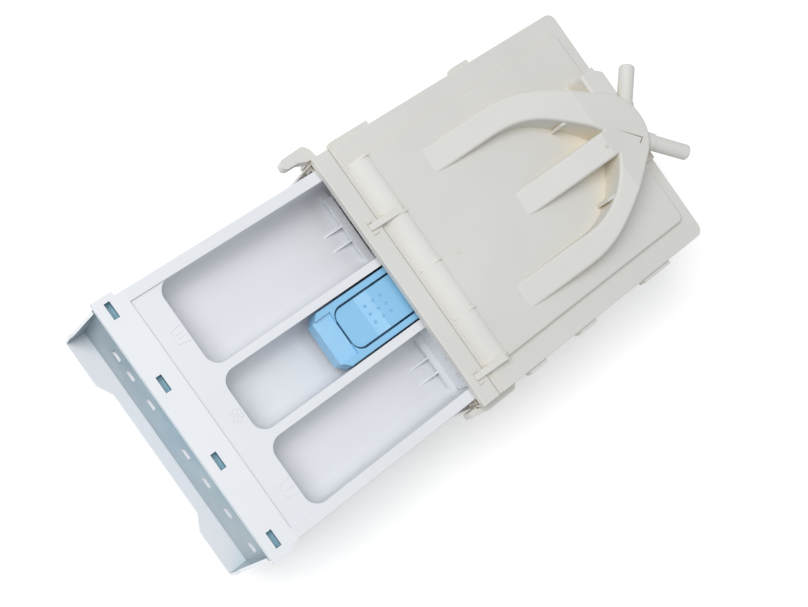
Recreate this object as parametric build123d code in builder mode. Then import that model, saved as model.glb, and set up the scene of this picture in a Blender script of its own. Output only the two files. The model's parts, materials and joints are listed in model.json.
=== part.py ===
from build123d import *
import os

# Detergent dispenser of a front loading washing machine: a drawer with three
# compartments that slides in a water housing.  Millimetres, +Z up, +X to the
# right seen from the front, the drawer pulls out towards -Y.  The origin is
# the centre of the outlet spigot's lower end.

# ---- driving dimensions -------------------------------------------------
RIM_Z = 105.0            # top of the drawer's rims
MOUTH_Y = -158.0         # front face of the housing
PULL_OUT = 177.8         # from the drawer's front edge to the housing's face
WALL = 2.2               # general moulded wall
GAP = 0.3                # clearance between moving bodies

# drawer
FRONT_Y = MOUTH_Y - PULL_OUT
BODY_HALF = 95.0         # half width over the rims
RIM_W = 8.5
RIM_T = 2.5
SKIRT_H = 9.0
PLATE_HALF = 98.0        # front plate, half width
PLATE_D = 21.6
PLATE_T = 2.5
PLATE_EAR_D = 15.8       # the plate is full width only this far back
PANEL_DROP = 1.5         # the tray's panel lies lower than its rims
PANEL_T = 2.4
TRAY_LENGTH = 221.0
WELL_Y = FRONT_Y + 41.0
WELL_R = 10.0
FLOOR_FRONT = 24.0       # well depth below the rims at the front
FLOOR_REAR = 34.0        # and at the weir
SPLIT_X = (-86.5, -22.6, -16.6, 28.8, 35.2, 86.5)   # well walls, left to right
WEIR_Y = FRONT_Y + 185.3          # front of the bar across the main wash well
GATE_BAR_Y = FRONT_Y + 180.8      # front of the bar across the prewash well
SOFTENER_REAR_Y = FRONT_Y + 206.0

# drawer front frame
FACE_Y = FRONT_Y + 1.8
FACE_T = 2.4
FACE_H = 66.0
SLOT_X = (-87.5, -32.4, 26.0, 85.0)
SLOT_W = 11.8
SLOT_D = 4.2
SLOT_RUN = 9.0
WINDOW_X = (-65.0, -49.6, -27.3, 11.0, 33.5, 57.6, 84.3)
WINDOW = 8.0
WINDOW_DROP = 28.0
LIP_D = 14.0             # flange at both ends
LIP_MID_D = 8.0          # and in its middle, the finger recess
LIP_MID_HALF = 48.0
LIP_SLOPE = 11.0
LIP_T = 2.5

# softener cap and release tab
CAP_X = (-15.0, 27.6)
CAP_Y = FRONT_Y + 114.3
CAP_REAR_Y = FRONT_Y + 204.5
CAP_T = 2.0
CAP_DROP = 2.6
CAP_PANEL_DROP = 2.0      # the front panel lies lower than the side rails
CAP_PANEL_FALL = 1.2      # and falls a little towards its front edge
CAP_CORNER = 5.5
TAB_GAP = 1.6
TAB_R = 6.5
TAB_T = 1.8
TAB_ROOT_Y = FRONT_Y + 198.0
DIMPLE_PITCH_X = 6.4
DIMPLE_PITCH_Y = 7.0
DIMPLE_R = 1.1
SIPHON_Y = FRONT_Y + 150.0

# housing
BOX_HALF = 102.0
BOX_REAR_Y = 78.0
BOX_TOP_Z = RIM_Z + 3.8
BOX_FRONT_DEPTH = 62.0
SUMP_Z = 27.0
SUMP_HALF_D = 20.0
REAR_FLOOR_Z = 60.0
SPIGOT_R = 16.0
SPIGOT_BORE_R = 13.6
BAR_D = 16.0
BAR_T = 3.0
BAR_LIP = 2.3            # the bar's front edge hangs down into the mouth
COVER_HALF = 102.4
COVER_FRONT_Y = MOUTH_Y + 19.0
COVER_REAR_Y = 81.0
COVER_T = 2.2
COVER_R = 7.0
RIDGE_D = 15.0
RIDGE_RIB_X = (-84.5, -38.0, 2.3, 42.5, 81.0)
PLATEAU_HALF = 85.0
PLATEAU_RISE = 3.5
PLATEAU_REAR_Y = 70.0

# water channels on the cover
ARM_W = 20.6
ARM_X = (-57.0, 5.2, 58.8)     # centre lines of the three arms
ARM_FRONT_Y = -88.0
MIDDLE_FRONT_Y = -44.0
RAMP_END_Y = 34.0              # the arms reach full height here
ROOT_X = 0.8                   # centre of the round root
ROOT_Y = 42.0
ROOT_R = 33.0
CHANNEL_H = 22.0               # root height above the plateau
CHANNEL_WALL = 2.0
NIPPLE_R = 6.0
NIPPLE_BORE_R = 4.0
NIPPLE_X = 5.3                 # where the axes of the two nipples cross
NIPPLE_Y = 58.5
NIPPLE_Z = RIM_Z + 20.5
NIPPLE_REACH = 56.8            # from the crossing to each nipple's end
NIPPLE_TURN = 44.6             # degrees each side of +Y

os.makedirs("parts", exist_ok=True)


def finish(block, name):
    """Label a finished sub-part and write it to its STEP file."""
    block.part.label = name
    export_step(block.part, "parts/" + name + ".step")


def floor_z(y):
    """Height of the wells' sloping floor at y."""
    run = (y - WELL_Y) / (WEIR_Y - WELL_Y)
    return RIM_Z - FLOOR_FRONT - run * (FLOOR_REAR - FLOOR_FRONT)


def well_solid(x_min, x_max, y_front, y_rear, top_z, grow, radius):
    """One compartment's space, or its outside when grow is the wall thickness."""
    with BuildPart() as space:
        with BuildSketch(Plane.YZ.offset(x_min - grow)):
            with BuildLine():
                Polyline(
                    (y_front - grow, top_z),
                    (y_front - grow, floor_z(y_front) - grow),
                    (y_rear, floor_z(y_rear) - grow),
                    (y_rear, top_z),
                    close=True,
                )
            make_face()
        extrude(amount=x_max - x_min + 2 * grow)
        top = space.faces().sort_by(Axis.Z)[-1].edges()
        rear = space.faces().sort_by(Axis.Y)[-1].edges()
        rounded = [e for e in space.edges() if e not in top and e not in rear]
        fillet(rounded, radius)
    return space.part


# ---- drawer tray ---------------------------------------------------------
TRAY_REAR_Y = FRONT_Y + TRAY_LENGTH
PANEL_Z = RIM_Z - PANEL_DROP
OPEN_TOP = 1.0           # the cutting solids pass the surfaces by this much
well_ends = (TRAY_REAR_Y + OPEN_TOP, SOFTENER_REAR_Y, TRAY_REAR_Y + OPEN_TOP)
tub_ends = (TRAY_REAR_Y, SOFTENER_REAR_Y + WALL, TRAY_REAR_Y)
tubs = []
hollows = []
for side in range(3):
    x_min, x_max = SPLIT_X[2 * side], SPLIT_X[2 * side + 1]
    tubs.append(well_solid(x_min, x_max, WELL_Y, tub_ends[side], PANEL_Z - 1.0, WALL, WELL_R + WALL))
    hollows.append(well_solid(x_min, x_max, WELL_Y, well_ends[side], RIM_Z + OPEN_TOP, 0.0, WELL_R))

SEAT_Y = FRONT_Y + 12.5     # the deck starts behind the plate's slots
STANDPIPE_R = 4.2
STANDPIPE_BORE_R = 2.8
STANDPIPE_TOP = RIM_Z - 20.0
BAR_TOP = RIM_Z - 29.0      # low bars hold the powder back at the wells' rear
BAR_DEPTH = 6.0
BAR_SLIT = 2.0              # water runs out through the slit under each bar
BAR_SHOULDER = 3.0
GUSSET_T = 1.6
GUSSET_L = 16.0
LEFT_BAR_END = -77.3
BARS = (
    (LEFT_BAR_END, SPLIT_X[1] + 0.5, WEIR_Y, (-55.8, -43.8)),
    (SPLIT_X[4] - 0.5, SPLIT_X[5] + 0.5, GATE_BAR_Y, (54.9, 67.2)),
)
DRAIN_SLOT_X = (-68.0, -31.0)
DRAIN_SLOT_Y = (FRONT_Y + 192.3, FRONT_Y + 196.5)

with BuildPart() as drawer_tray:
    # deck: thin under the front frame's plate, level with the panel behind it
    with BuildSketch(Plane.XY.offset(PANEL_Z - PANEL_T)):
        with Locations((0, (FRONT_Y + PLATE_D + TRAY_REAR_Y) / 2)):
            Rectangle(2 * BODY_HALF, TRAY_REAR_Y - FRONT_Y - PLATE_D)
    extrude(amount=PANEL_T)
    with BuildSketch(Plane.XY.offset(PANEL_Z - PANEL_T)):
        with Locations((0, (SEAT_Y + FRONT_Y + PLATE_D) / 2)):
            Rectangle(2 * BODY_HALF - 2, FRONT_Y + PLATE_D - SEAT_Y)
    extrude(amount=PANEL_T - (PLATE_T - PANEL_DROP))
    for tub in tubs:
        add(tub)
    # rims with their outer skirts, the drawer's runners
    for sign in (-1, 1):
        with BuildSketch(Plane.XZ.offset(-FRONT_Y - PLATE_D)):
            with BuildLine():
                Polyline(
                    (sign * (BODY_HALF - RIM_W), RIM_Z),
                    (sign * BODY_HALF, RIM_Z),
                    (sign * BODY_HALF, RIM_Z - SKIRT_H),
                    (sign * (BODY_HALF - WALL), RIM_Z - SKIRT_H),
                    (sign * (BODY_HALF - WALL), RIM_Z - RIM_T),
                    (sign * (BODY_HALF - RIM_W), RIM_Z - RIM_T),
                    close=True,
                )
            make_face()
        extrude(amount=-(TRAY_REAR_Y - FRONT_Y - PLATE_D))
    for hollow in hollows:
        add(hollow, mode=Mode.SUBTRACT)
    # bars across the two powder wells, each with a pair of gussets
    for x_start, x_end, bar_y, gusset_x in BARS:
        with BuildSketch(Plane.YZ.offset(x_start)):
            with BuildLine():
                Polyline(
                    (bar_y, floor_z(bar_y) + BAR_SLIT),
                    (bar_y, BAR_TOP),
                    (bar_y + BAR_DEPTH, BAR_TOP),
                    (bar_y + BAR_DEPTH, floor_z(bar_y + BAR_DEPTH) + BAR_SLIT),
                    close=True,
                )
            make_face()
        extrude(amount=x_end - x_start)
        for x in gusset_x:
            with BuildSketch(Plane.YZ.offset(x - GUSSET_T / 2)):
                with BuildLine():
                    Polyline(
                        (bar_y - GUSSET_L, floor_z(bar_y - GUSSET_L) - WALL / 2),
                        (bar_y - GUSSET_L, floor_z(bar_y - GUSSET_L)),
                        (bar_y, BAR_TOP),
                        (bar_y + BAR_DEPTH, BAR_TOP),
                        (bar_y + BAR_DEPTH, floor_z(bar_y + BAR_DEPTH) - WALL / 2),
                        close=True,
                    )
                make_face()
            extrude(amount=GUSSET_T)
    # low shoulder between the left bar and the well's wall
    with BuildSketch(Plane.XY.offset(floor_z(WEIR_Y) - WALL / 2)):
        with Locations(((SPLIT_X[0] + LEFT_BAR_END) / 2, WEIR_Y + BAR_DEPTH / 2)):
            Rectangle(LEFT_BAR_END - SPLIT_X[0] + 1.0, BAR_DEPTH)
    extrude(amount=BAR_TOP - BAR_SHOULDER - floor_z(WEIR_Y) + WALL / 2)
    # drain slot behind the left bar
    with BuildSketch(Plane.XY.offset(BAR_TOP)):
        with Locations((sum(DRAIN_SLOT_X) / 2, sum(DRAIN_SLOT_Y) / 2)):
            Rectangle(DRAIN_SLOT_X[1] - DRAIN_SLOT_X[0], DRAIN_SLOT_Y[1] - DRAIN_SLOT_Y[0])
    extrude(amount=-(BAR_TOP - floor_z(TRAY_REAR_Y) + WALL), mode=Mode.SUBTRACT)
    # standpipe of the softener siphon
    with BuildSketch(Plane.XY.offset(floor_z(SIPHON_Y) - WALL)):
        with Locations(((SPLIT_X[2] + SPLIT_X[3]) / 2, SIPHON_Y)):
            Circle(STANDPIPE_R)
    extrude(amount=STANDPIPE_TOP - floor_z(SIPHON_Y) + WALL)
    with Locations(((SPLIT_X[2] + SPLIT_X[3]) / 2, SIPHON_Y, STANDPIPE_TOP)):
        Hole(STANDPIPE_BORE_R)
    outer_rims = drawer_tray.edges().filter_by(Axis.Y).group_by(Axis.Z)[-1].sort_by(Axis.X)
    fillet([outer_rims[0], outer_rims[-1]], 1.0)
finish(drawer_tray, "drawer_tray")

# ---- drawer front frame --------------------------------------------------
FACE_BOTTOM = RIM_Z - FACE_H
CHEEK_X = 95.0
CHEEK_T = 2.4
CHEEK_STEP_H = 16.0
CHEEK_STEP_D = 3.0

with BuildPart() as drawer_front_frame:
    with BuildSketch(Plane.XY.offset(RIM_Z - PLATE_T)):
        with Locations((0, FRONT_Y + PLATE_EAR_D / 2)):
            Rectangle(2 * PLATE_HALF, PLATE_EAR_D)
        with Locations((0, FRONT_Y + PLATE_D / 2)):
            Rectangle(2 * BODY_HALF, PLATE_D)
        for x in SLOT_X:
            with Locations((x, FRONT_Y + SLOT_RUN)):
                Rectangle(SLOT_W, SLOT_D, mode=Mode.SUBTRACT)
    extrude(amount=PLATE_T)
    # upright face with its row of windows
    with BuildSketch(Plane.XZ.offset(-FACE_Y)):
        with Locations((0, FACE_BOTTOM + (FACE_H - PLATE_T) / 2)):
            Rectangle(2 * CHEEK_X, FACE_H - PLATE_T)
        for x in WINDOW_X:
            with Locations((x, RIM_Z - WINDOW_DROP)):
                Rectangle(WINDOW, WINDOW, mode=Mode.SUBTRACT)
    extrude(amount=-FACE_T)
    # bottom flange, narrower in the middle
    with BuildSketch(Plane.XY.offset(FACE_BOTTOM)):
        with BuildLine():
            Polyline(
                (-CHEEK_X, FACE_Y + FACE_T),
                (-CHEEK_X, FACE_Y - LIP_D),
                (-LIP_MID_HALF - LIP_SLOPE, FACE_Y - LIP_D),
                (-LIP_MID_HALF, FACE_Y - LIP_MID_D),
                (LIP_MID_HALF, FACE_Y - LIP_MID_D),
                (LIP_MID_HALF + LIP_SLOPE, FACE_Y - LIP_D),
                (CHEEK_X, FACE_Y - LIP_D),
                (CHEEK_X, FACE_Y + FACE_T),
                close=True,
            )
        make_face()
    extrude(amount=LIP_T)
    # end cheeks
    for x in (-CHEEK_X, CHEEK_X - CHEEK_T):
        with BuildSketch(Plane.YZ.offset(x)):
            with BuildLine():
                Polyline(
                    (FRONT_Y + 1.0, RIM_Z - PLATE_T),
                    (FACE_Y - LIP_D + CHEEK_STEP_D, FACE_BOTTOM + CHEEK_STEP_H),
                    (FACE_Y - LIP_D + 0.6, FACE_BOTTOM + CHEEK_STEP_H),
                    (FACE_Y - LIP_D, FACE_BOTTOM),
                    (FACE_Y + FACE_T, FACE_BOTTOM),
                    (FACE_Y + FACE_T, RIM_Z - PLATE_T),
                    close=True,
                )
            make_face()
        extrude(amount=CHEEK_T)
    plate_top = drawer_front_frame.faces().sort_by(Axis.Z)[-1]
    fillet(plate_top.edges().filter_by(Axis.X).sort_by(Axis.Y)[0], 1.0)
    lip_bottom = drawer_front_frame.faces().sort_by(Axis.Z)[0]
    fillet(lip_bottom.edges().filter_by(Axis.X).group_by(Axis.Y)[0], 0.8)
finish(drawer_front_frame, "drawer_front_frame")

# ---- prewash gate --------------------------------------------------------
GATE_Y = GATE_BAR_Y + 4.6
GATE_T = 2.2
GATE_TOP = RIM_Z - 14.0
GATE_FLANGE_D = 5.0
GATE_FLANGE_T = 1.8
GATE_SIDE_GAP = 0.25
GATE_X = (SPLIT_X[4] + GATE_SIDE_GAP, SPLIT_X[5] - GATE_SIDE_GAP)
GATE_NOTCH_X = (62.5, 76.3)
GATE_NOTCH_R = 1.3
GATE_CORNER = 3.0

with BuildPart() as prewash_gate:
    with BuildSketch(Plane.XZ.offset(-GATE_Y)) as gate_plate:
        with Locations(((GATE_X[0] + GATE_X[1]) / 2, (BAR_TOP + GATE_TOP) / 2)):
            Rectangle(GATE_X[1] - GATE_X[0], GATE_TOP - BAR_TOP)
        chamfer(gate_plate.vertices().group_by(Axis.Y)[0], GATE_CORNER)
    extrude(amount=-GATE_T)
    with BuildSketch(Plane.XY.offset(GATE_TOP)):
        with Locations(((GATE_X[0] + GATE_X[1]) / 2, GATE_Y + GATE_FLANGE_D / 2)):
            Rectangle(GATE_X[1] - GATE_X[0], GATE_FLANGE_D)
    extrude(amount=-GATE_FLANGE_T)
    # finger notches in the upper edge
    with Locations(*[(x, GATE_Y, GATE_TOP) for x in GATE_NOTCH_X]):
        Hole(GATE_NOTCH_R, depth=2 * GATE_FLANGE_T)
finish(prewash_gate, "prewash_gate")

# ---- softener cap with its siphon sleeve ---------------------------------
CAP_Z = RIM_Z - CAP_DROP
CAP_H = 15.0
TAB_X = (-8.9, 21.5)
TAB_FRONT_Y = FRONT_Y + 129.9
RECESS_D = 13.2
SLEEVE_R = 8.0
SLEEVE_BORE_R = 6.4
SLEEVE_FOOT = 3.0
siphon_x = (SPLIT_X[2] + SPLIT_X[3]) / 2
slot_x = (TAB_X[0] - TAB_GAP, TAB_X[1] + TAB_GAP)
slot_y = (TAB_FRONT_Y - TAB_GAP, TAB_ROOT_Y)

with BuildPart() as siphon_cap:
    with BuildSketch(Plane.XY.offset(CAP_Z - CAP_H)) as cap_outline:
        with Locations(((CAP_X[0] + CAP_X[1]) / 2, (CAP_Y + CAP_REAR_Y) / 2)):
            Rectangle(CAP_X[1] - CAP_X[0], CAP_REAR_Y - CAP_Y)
        chamfer(cap_outline.vertices().group_by(Axis.Y)[0], CAP_CORNER)
    extrude(amount=CAP_H)
    # front panel between the rails
    with BuildSketch(Plane.YZ.offset(slot_x[0])):
        with BuildLine():
            Polyline(
                (CAP_Y - OPEN_TOP, CAP_Z + OPEN_TOP),
                (CAP_Y - OPEN_TOP, CAP_Z - CAP_PANEL_DROP - CAP_PANEL_FALL),
                (CAP_Y, CAP_Z - CAP_PANEL_DROP - CAP_PANEL_FALL),
                (slot_y[0], CAP_Z - CAP_PANEL_DROP),
                (slot_y[0], CAP_Z + OPEN_TOP),
                close=True,
            )
        make_face()
    extrude(amount=slot_x[1] - slot_x[0], mode=Mode.SUBTRACT)
    # recess that the release tab swings down into
    with BuildSketch(Plane.XY.offset(CAP_Z)) as recess:
        with Locations(((slot_x[0] + slot_x[1]) / 2, (slot_y[0] + slot_y[1]) / 2)):
            Rectangle(slot_x[1] - slot_x[0], slot_y[1] - slot_y[0])
        fillet(recess.vertices().group_by(Axis.Y)[0], TAB_R + TAB_GAP)
    extrude(amount=-RECESS_D, mode=Mode.SUBTRACT)
    # underside of the front panel is hollow
    with BuildSketch(Plane.XY.offset(CAP_Z - CAP_H)):
        with Locations(((slot_x[0] + slot_x[1]) / 2, (CAP_Y + slot_y[0]) / 2)):
            Rectangle(slot_x[1] - slot_x[0], slot_y[0] - CAP_Y - 2 * CAP_T)
    extrude(amount=CAP_H - CAP_PANEL_DROP - CAP_PANEL_FALL - CAP_T, mode=Mode.SUBTRACT)
    # siphon sleeve hangs over the standpipe
    with BuildSketch(Plane.XY.offset(CAP_Z - CAP_H)):
        with Locations((siphon_x, SIPHON_Y)):
            Circle(SLEEVE_R)
            Circle(SLEEVE_BORE_R, mode=Mode.SUBTRACT)
    extrude(amount=-(CAP_Z - CAP_H - floor_z(SIPHON_Y) - SLEEVE_FOOT))
    rails_top = siphon_cap.faces().sort_by(Axis.Z)[-1]
    fillet(rails_top.edges().filter_by(Axis.Y).sort_by(Axis.X)[0], 0.8)
    rails_top = siphon_cap.faces().sort_by(Axis.Z)[-1]
    fillet(rails_top.edges().filter_by(Axis.Y).sort_by(Axis.X)[-1], 0.8)
finish(siphon_cap, "siphon_cap")

# ---- release tab ---------------------------------------------------------
TAB_Z = CAP_Z - 0.4
TAB_BEND_Y = (FRONT_Y + 148.3, FRONT_Y + 158.8)
TAB_BEND_DROP = 1.4
TAB_FRONT_DROP = 1.7
TAB_SPRING_GAP = 0.3
LUG_X = (0.0, 13.0)
LUG_D = 3.0
LUG_TOP = RIM_Z + 0.4
STOP_Y = MOUTH_Y + 4.0         # front face of the housing's stop rib
STOP_D = 2.5
LUG_Y = STOP_Y + STOP_D + 0.5
DIMPLE_Y = FRONT_Y + 152.1
DIMPLE_DEPTH = 0.7


def tab_z(y):
    """Height of the tab's top face at y."""
    if y >= TAB_BEND_Y[1]:
        return TAB_Z
    run = (TAB_BEND_Y[1] - y) / (TAB_BEND_Y[1] - TAB_BEND_Y[0])
    return TAB_Z - min(run, 1.0) * TAB_BEND_DROP


with BuildPart() as release_tab:
    tab_rear_y = TAB_ROOT_Y - TAB_SPRING_GAP
    with BuildSketch(Plane.YZ.offset(TAB_X[0])):
        with BuildLine():
            Polyline(
                (TAB_FRONT_Y, TAB_Z - TAB_FRONT_DROP),
                (TAB_BEND_Y[0], TAB_Z - TAB_BEND_DROP),
                (TAB_BEND_Y[1], TAB_Z),
                (tab_rear_y, TAB_Z),
                (tab_rear_y, TAB_Z - TAB_T),
                (TAB_BEND_Y[1], TAB_Z - TAB_T),
                (TAB_BEND_Y[0], TAB_Z - TAB_BEND_DROP - TAB_T),
                (TAB_FRONT_Y, TAB_Z - TAB_FRONT_DROP - TAB_T),
                close=True,
            )
        make_face()
    extrude(amount=TAB_X[1] - TAB_X[0])
    fillet(release_tab.edges().filter_by(Axis.Z).group_by(Axis.Y)[0], TAB_R)
    # lug that meets the housing's stop rib
    with BuildSketch(Plane.XY.offset(TAB_Z - TAB_T / 2)):
        with Locations(((LUG_X[0] + LUG_X[1]) / 2, LUG_Y + LUG_D / 2)):
            Rectangle(LUG_X[1] - LUG_X[0], LUG_D)
    extrude(amount=LUG_TOP - TAB_Z + TAB_T / 2)
    # dimples for the thumb
    for column in range(3):
        for row in range(3):
            x = column * DIMPLE_PITCH_X
            y = DIMPLE_Y + row * DIMPLE_PITCH_Y
            with BuildSketch(Plane.XY.offset(tab_z(y) - DIMPLE_DEPTH)):
                with Locations((x, y)):
                    Circle(DIMPLE_R)
            extrude(amount=2 * TAB_T, mode=Mode.SUBTRACT)
finish(release_tab, "release_tab")

# ---- housing box ---------------------------------------------------------
BOX_BOTTOM_Z = RIM_Z - BOX_FRONT_DEPTH
SILL_H = 8.0
BOX_CORNER_R = 6.0
BOX_EDGE_R = 3.0
SPIGOT_FLANGE_R = 19.0
SPIGOT_FLANGE_T = 2.5


def box_section(inset, top_z):
    """Side outline of the housing box, moved inwards by inset."""
    front_y = MOUTH_Y + inset
    Polyline(
        (front_y, top_z),
        (front_y, BOX_BOTTOM_Z + inset),
        (-SUMP_HALF_D + inset / 4, SUMP_Z + inset),
        (SUMP_HALF_D - inset / 4, SUMP_Z + inset),
        (BOX_REAR_Y - inset, REAR_FLOOR_Z + inset),
        (BOX_REAR_Y - inset, top_z),
        close=True,
    )


with BuildPart() as housing_box:
    with BuildSketch(Plane.YZ.offset(-BOX_HALF)):
        with BuildLine():
            box_section(0.0, BOX_TOP_Z)
        make_face()
    extrude(amount=2 * BOX_HALF)
    fillet(housing_box.edges().filter_by(Axis.Z).group_by(Axis.Y)[-1], BOX_CORNER_R)
    fillet(housing_box.edges().filter_by(Axis.X).group_by(Axis.Z)[1:-1], BOX_CORNER_R)
    sides = housing_box.faces().filter_by(Axis.X)
    lower_edges = [e for f in sides for e in f.edges() if e.center().Z < BOX_TOP_Z - SILL_H and
                   e.center().Y > MOUTH_Y + SILL_H and e.center().Y < BOX_REAR_Y - 2 * BOX_CORNER_R]
    fillet(lower_edges, BOX_EDGE_R)
    with BuildSketch(Plane.YZ.offset(-BOX_HALF + WALL)):
        with BuildLine():
            box_section(WALL, BOX_TOP_Z + OPEN_TOP)
        make_face()
    extrude(amount=2 * (BOX_HALF - WALL), mode=Mode.SUBTRACT)
    # mouth above a low sill
    mouth_h = BOX_TOP_Z - BOX_BOTTOM_Z - WALL - SILL_H
    with BuildSketch(Plane.XZ.offset(-MOUTH_Y + OPEN_TOP)):
        with Locations((0, BOX_TOP_Z + OPEN_TOP - mouth_h / 2)):
            Rectangle(2 * (BOX_HALF - WALL), mouth_h)
    extrude(amount=-(WALL + 2 * OPEN_TOP), mode=Mode.SUBTRACT)
    # drain hole in the sump
    with BuildSketch(Plane.XY.offset(SUMP_Z - OPEN_TOP)):
        Circle(SPIGOT_BORE_R)
    extrude(amount=WALL + 2 * OPEN_TOP, mode=Mode.SUBTRACT)
finish(housing_box, "housing_box")

# ---- outlet spigot -------------------------------------------------------
with BuildPart() as outlet_spigot:
    with BuildSketch(Plane.XZ):
        with BuildLine():
            Polyline(
                (SPIGOT_BORE_R, 0),
                (SPIGOT_R, 0),
                (SPIGOT_R, SUMP_Z - SPIGOT_FLANGE_T),
                (SPIGOT_FLANGE_R, SUMP_Z - SPIGOT_FLANGE_T),
                (SPIGOT_FLANGE_R, SUMP_Z),
                (SPIGOT_BORE_R, SUMP_Z),
                close=True,
            )
        make_face()
    revolve(axis=Axis.Z)
finish(outlet_spigot, "outlet_spigot")

# ---- guide rails ---------------------------------------------------------
RAIL_REACH = 9.0
RAIL_T = 2.4
RAIL_LEG_H = 12.0
RAIL_LEG_T = 1.8
RAIL_Y = MOUTH_Y + 4.0
RAIL_REAR_Y = BOX_REAR_Y - 12.0
rail_top = RIM_Z - SKIRT_H - GAP

for sign, name in ((-1, "guide_rail_left"), (1, "guide_rail_right")):
    wall_x = sign * (BOX_HALF - WALL)
    with BuildPart() as guide_rail:
        with BuildSketch(Plane.XZ.offset(-RAIL_Y)):
            with BuildLine():
                Polyline(
                    (wall_x, rail_top),
                    (wall_x - sign * RAIL_REACH, rail_top),
                    (wall_x - sign * RAIL_REACH, rail_top - RAIL_T),
                    (wall_x - sign * RAIL_LEG_T, rail_top - RAIL_T),
                    (wall_x - sign * RAIL_LEG_T, rail_top - RAIL_LEG_H),
                    (wall_x, rail_top - RAIL_LEG_H),
                    close=True,
                )
            make_face()
        extrude(amount=-(RAIL_REAR_Y - RAIL_Y))
    finish(guide_rail, name)

# ---- mouth bar with the stop rib -----------------------------------------
GROOVE_D = 3.0             # the groove between the bar and the cover's ridge
GROOVE_T = 0.8
BAR_BEVEL = 2.0
BAR_LIP_T = 3.0
CATCH_X = (-41.0, 83.0)    # a catch takes the end of each of the cover's snap arms
CATCH_W = 10.5
CATCH_D = 4.0
CATCH_H = 1.3
CATCH_SLOT_W = 6.9
CATCH_Y = MOUTH_Y + 7.5
STOP_MARGIN = 2.0
STOP_HANG = 0.8

with BuildPart() as mouth_bar:
    with BuildSketch(Plane.YZ.offset(-BOX_HALF)):
        with BuildLine():
            Polyline(
                (MOUTH_Y, BOX_TOP_Z),
                (MOUTH_Y, BOX_TOP_Z + BAR_T),
                (MOUTH_Y + BAR_D - BAR_BEVEL, BOX_TOP_Z + BAR_T),
                (MOUTH_Y + BAR_D, BOX_TOP_Z + GROOVE_T),
                (MOUTH_Y + BAR_D + GROOVE_D, BOX_TOP_Z + GROOVE_T),
                (MOUTH_Y + BAR_D + GROOVE_D, BOX_TOP_Z),
                close=True,
            )
        make_face()
    extrude(amount=2 * BOX_HALF)
    fillet(mouth_bar.edges().filter_by(Axis.X).group_by(Axis.Z)[-1], 0.8)
    # edge that hangs into the mouth, and the stop for the drawer's lug
    with BuildSketch(Plane.XY.offset(BOX_TOP_Z)):
        with Locations((0, MOUTH_Y + BAR_LIP_T / 2)):
            Rectangle(2 * (BOX_HALF - WALL - GAP), BAR_LIP_T)
    extrude(amount=-BAR_LIP)
    with BuildSketch(Plane.XY.offset(BOX_TOP_Z)):
        with Locations(((LUG_X[0] + LUG_X[1]) / 2, STOP_Y + STOP_D / 2)):
            Rectangle(LUG_X[1] - LUG_X[0] + 2 * STOP_MARGIN, STOP_D)
    extrude(amount=-(BOX_TOP_Z - RIM_Z + STOP_HANG))
    with BuildSketch(Plane.XY.offset(BOX_TOP_Z + BAR_T)):
        with Locations(*[(x, CATCH_Y) for x in CATCH_X]):
            Rectangle(CATCH_W, CATCH_D)
            Rectangle(CATCH_SLOT_W, CATCH_D, mode=Mode.SUBTRACT)
    extrude(amount=CATCH_H)
finish(mouth_bar, "mouth_bar")

# ---- hook brackets beside the mouth --------------------------------------
HOOK_Z = RIM_Z - 3.0
HOOK_H = 8.5
HOOK_OUT = 11.0            # reach from the box's side
HOOK_SHOULDER = 7.0
HOOK_SHOULDER_D = 3.5
HOOK_NECK = 2.5            # gap between the box and the hook's tip
HOOK_NECK_D = 9.5
HOOK_TIP_OUT = 10.0
HOOK_TIP_D = 20.5          # the tip stands this far in front of the housing
HOOK_TIP_R = 3.4
HOOK_BACK_D = 5.0
HOOK_ELBOW_R = 2.5
HOOK_WEB_H = 16.0
HOOK_WEB_OUT = 8.0
HOOK_WEB_T = 2.5
hook_side = -BOX_HALF

with BuildPart() as hook_bracket_left:
    with BuildSketch(Plane.XY.offset(HOOK_Z)) as hook_outline:
        with BuildLine():
            Polyline(
                (hook_side, MOUTH_Y + HOOK_BACK_D),
                (hook_side - HOOK_SHOULDER, MOUTH_Y + HOOK_SHOULDER_D),
                (hook_side - HOOK_OUT, MOUTH_Y),
                (hook_side - HOOK_TIP_OUT, MOUTH_Y - HOOK_TIP_D),
                (hook_side - HOOK_NECK, MOUTH_Y - HOOK_TIP_D),
                (hook_side - HOOK_NECK, MOUTH_Y - HOOK_NECK_D),
                (hook_side, MOUTH_Y - HOOK_NECK),
                close=True,
            )
        make_face()
        fillet(hook_outline.vertices().group_by(Axis.Y)[0], HOOK_TIP_R)
        fillet(hook_outline.vertices().group_by(Axis.X)[0], HOOK_ELBOW_R)
    extrude(amount=HOOK_H)
    # web under the hook, down the side of the box
    with BuildSketch(Plane.XZ.offset(-MOUTH_Y)):
        with BuildLine():
            Polyline(
                (hook_side, HOOK_Z),
                (hook_side, HOOK_Z - HOOK_WEB_H),
                (hook_side - HOOK_WEB_OUT, HOOK_Z),
                close=True,
            )
        make_face()
    extrude(amount=-HOOK_WEB_T)
finish(hook_bracket_left, "hook_bracket_left")

LOBE_Z = RIM_Z - 16.0
LOBE_H = 10.0
LOBE_OUT = 5.5
LOBE_FRONT_D = 7.0         # the lobe stands this far in front of the housing
LOBE_REAR_D = 38.0
LOBE_R = 3.0
LOBE_OVERHANG = 1.5

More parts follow.
